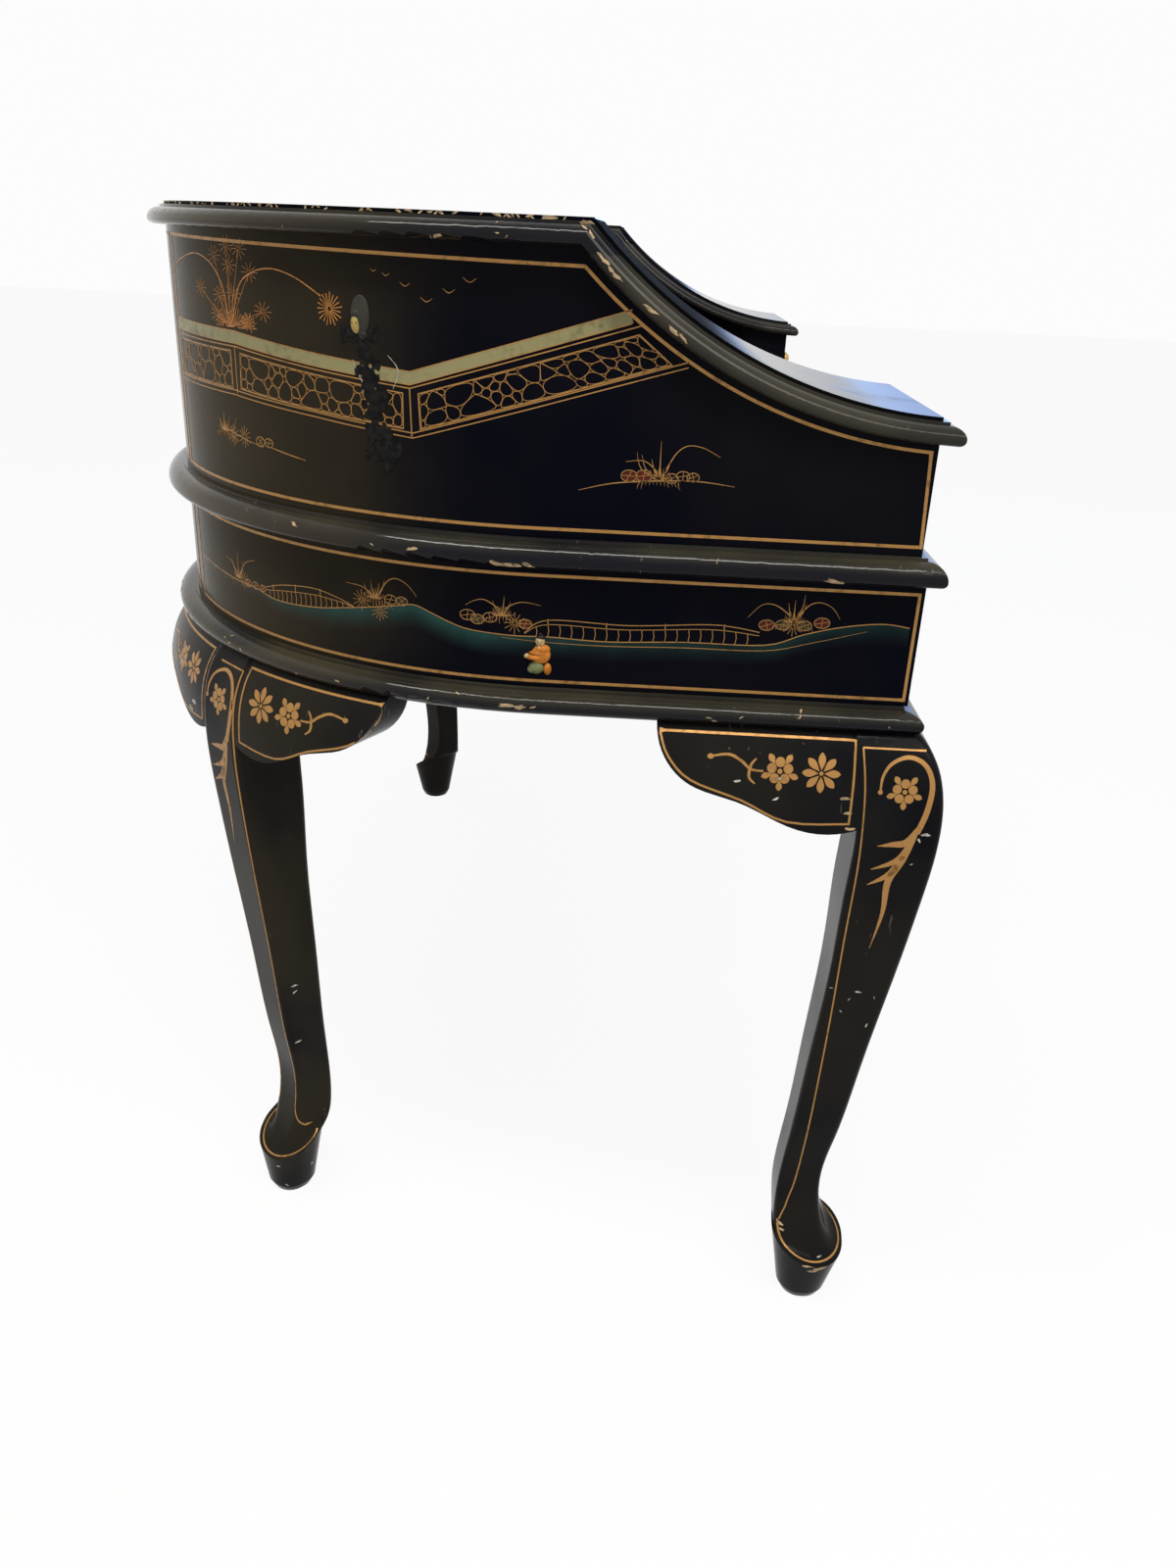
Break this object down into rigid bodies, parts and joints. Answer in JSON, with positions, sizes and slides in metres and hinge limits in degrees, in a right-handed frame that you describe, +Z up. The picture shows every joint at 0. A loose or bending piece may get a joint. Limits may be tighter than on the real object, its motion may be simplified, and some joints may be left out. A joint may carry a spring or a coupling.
{
  "type": "writing desk",
  "caption": "Lacquered writing desk with a bowed back, cabriole legs, frieze drawers and a sloping-winged gallery with small drawers, pigeonholes and concave corner doors.",
  "frame": {"origin": "middle of the overall box, on the floor", "axes": "+X to the right along the desk's width, -Y out of its front, +Z up"},
  "size_m": [1.3094, 0.7227, 0.965],
  "materials": {
    "black_lacquer": "gloss lacquer",
    "drawer_wood": "plain, unpolished",
    "dowel_wood": "plain",
    "brass": "aged satin",
    "carved_stone": "painted soapstone"
  },
  "bodies": {
    "carcass": {"bank_shelves": "black_lacquer", "base_board": "black_lacquer", "base_moulding": "black_lacquer", "desk_top": "black_lacquer", "desk_top_moulding": "black_lacquer", "door_pins": "brass", "drawer_runners": "drawer_wood", "frieze_back": "black_lacquer", "frieze_posts": "black_lacquer", "frieze_side_left": "black_lacquer", "frieze_side_right": "black_lacquer", "gallery_back": "black_lacquer", "gallery_partitions": "black_lacquer", "gallery_side_left": "black_lacquer", "gallery_side_right": "black_lacquer", "gallery_top": "black_lacquer", "knee_brackets_front": "black_lacquer", "knee_brackets_rear": "black_lacquer", "leg_dowels": "dowel_wood", "leg_front_left": "black_lacquer", "leg_front_right": "black_lacquer", "leg_rear_left": "black_lacquer", "leg_rear_right": "black_lacquer", "relief_figures": "carved_stone", "top_moulding_inner": "black_lacquer", "top_moulding_outer": "black_lacquer", "wing_moulding_left": "black_lacquer", "wing_moulding_right": "black_lacquer", "wing_top_left": "black_lacquer", "wing_top_right": "black_lacquer", "wing_wall_left": "black_lacquer", "wing_wall_right": "black_lacquer"},
    "bank_drawer_centre": {"bank_drawer_centre_front": "black_lacquer", "bank_drawer_centre_box": "drawer_wood", "bank_drawer_centre_knobs": "brass"},
    "bank_drawer_left": {"bank_drawer_left_front": "black_lacquer", "bank_drawer_left_box": "drawer_wood", "bank_drawer_left_knobs": "brass"},
    "bank_drawer_right": {"bank_drawer_right_front": "black_lacquer", "bank_drawer_right_box": "drawer_wood", "bank_drawer_right_knobs": "brass"},
    "frieze_drawer_centre": {"frieze_drawer_centre_front": "black_lacquer", "frieze_drawer_centre_box": "drawer_wood", "frieze_drawer_centre_knobs": "brass"},
    "frieze_drawer_left": {"frieze_drawer_left_front": "black_lacquer", "frieze_drawer_left_box": "drawer_wood", "frieze_drawer_left_knobs": "brass"},
    "frieze_drawer_right": {"frieze_drawer_right_front": "black_lacquer", "frieze_drawer_right_box": "drawer_wood", "frieze_drawer_right_knobs": "brass"},
    "wing_drawer_left": {"wing_drawer_left_front": "black_lacquer", "wing_drawer_left_box": "drawer_wood", "wing_drawer_left_knobs": "brass"},
    "wing_drawer_right": {"wing_drawer_right_front": "black_lacquer", "wing_drawer_right_box": "drawer_wood", "wing_drawer_right_knobs": "brass"},
    "corner_door_left": {"corner_door_left": "black_lacquer", "door_knob_left": "brass"},
    "corner_door_right": {"corner_door_right": "black_lacquer", "door_knob_right": "brass"}
  },
  "joints": [
    {"name": "bank_drawer_centre_slide", "type": "slide", "parent": "carcass", "child": "bank_drawer_centre", "axis": [0, -1, 0], "range_m": [0, 0.13]},
    {"name": "bank_drawer_left_slide", "type": "slide", "parent": "carcass", "child": "bank_drawer_left", "axis": [0, -1, 0], "range_m": [0, 0.13]},
    {"name": "bank_drawer_right_slide", "type": "slide", "parent": "carcass", "child": "bank_drawer_right", "axis": [0, -1, 0], "range_m": [0, 0.13]},
    {"name": "frieze_drawer_centre_slide", "type": "slide", "parent": "carcass", "child": "frieze_drawer_centre", "axis": [0, -1, 0], "range_m": [0, 0.32]},
    {"name": "frieze_drawer_left_slide", "type": "slide", "parent": "carcass", "child": "frieze_drawer_left", "axis": [0, -1, 0], "range_m": [0, 0.27]},
    {"name": "frieze_drawer_right_slide", "type": "slide", "parent": "carcass", "child": "frieze_drawer_right", "axis": [0, -1, 0], "range_m": [0, 0.27]},
    {"name": "wing_drawer_left_slide", "type": "slide", "parent": "carcass", "child": "wing_drawer_left", "axis": [0, -1, 0], "range_m": [0, 0.15]},
    {"name": "wing_drawer_right_slide", "type": "slide", "parent": "carcass", "child": "wing_drawer_right", "axis": [0, -1, 0], "range_m": [0, 0.15]},
    {"name": "corner_door_left_hinge", "type": "hinge", "parent": "carcass", "child": "corner_door_left", "pos_m": [-0.41376, -0.00898, 0.8465], "axis": [0, 0, -1], "range_deg": [0, 100]},
    {"name": "corner_door_right_hinge", "type": "hinge", "parent": "carcass", "child": "corner_door_right", "pos_m": [0.41376, -0.00898, 0.8465], "axis": [0, 0, 1], "range_deg": [0, 100]}
  ]
}
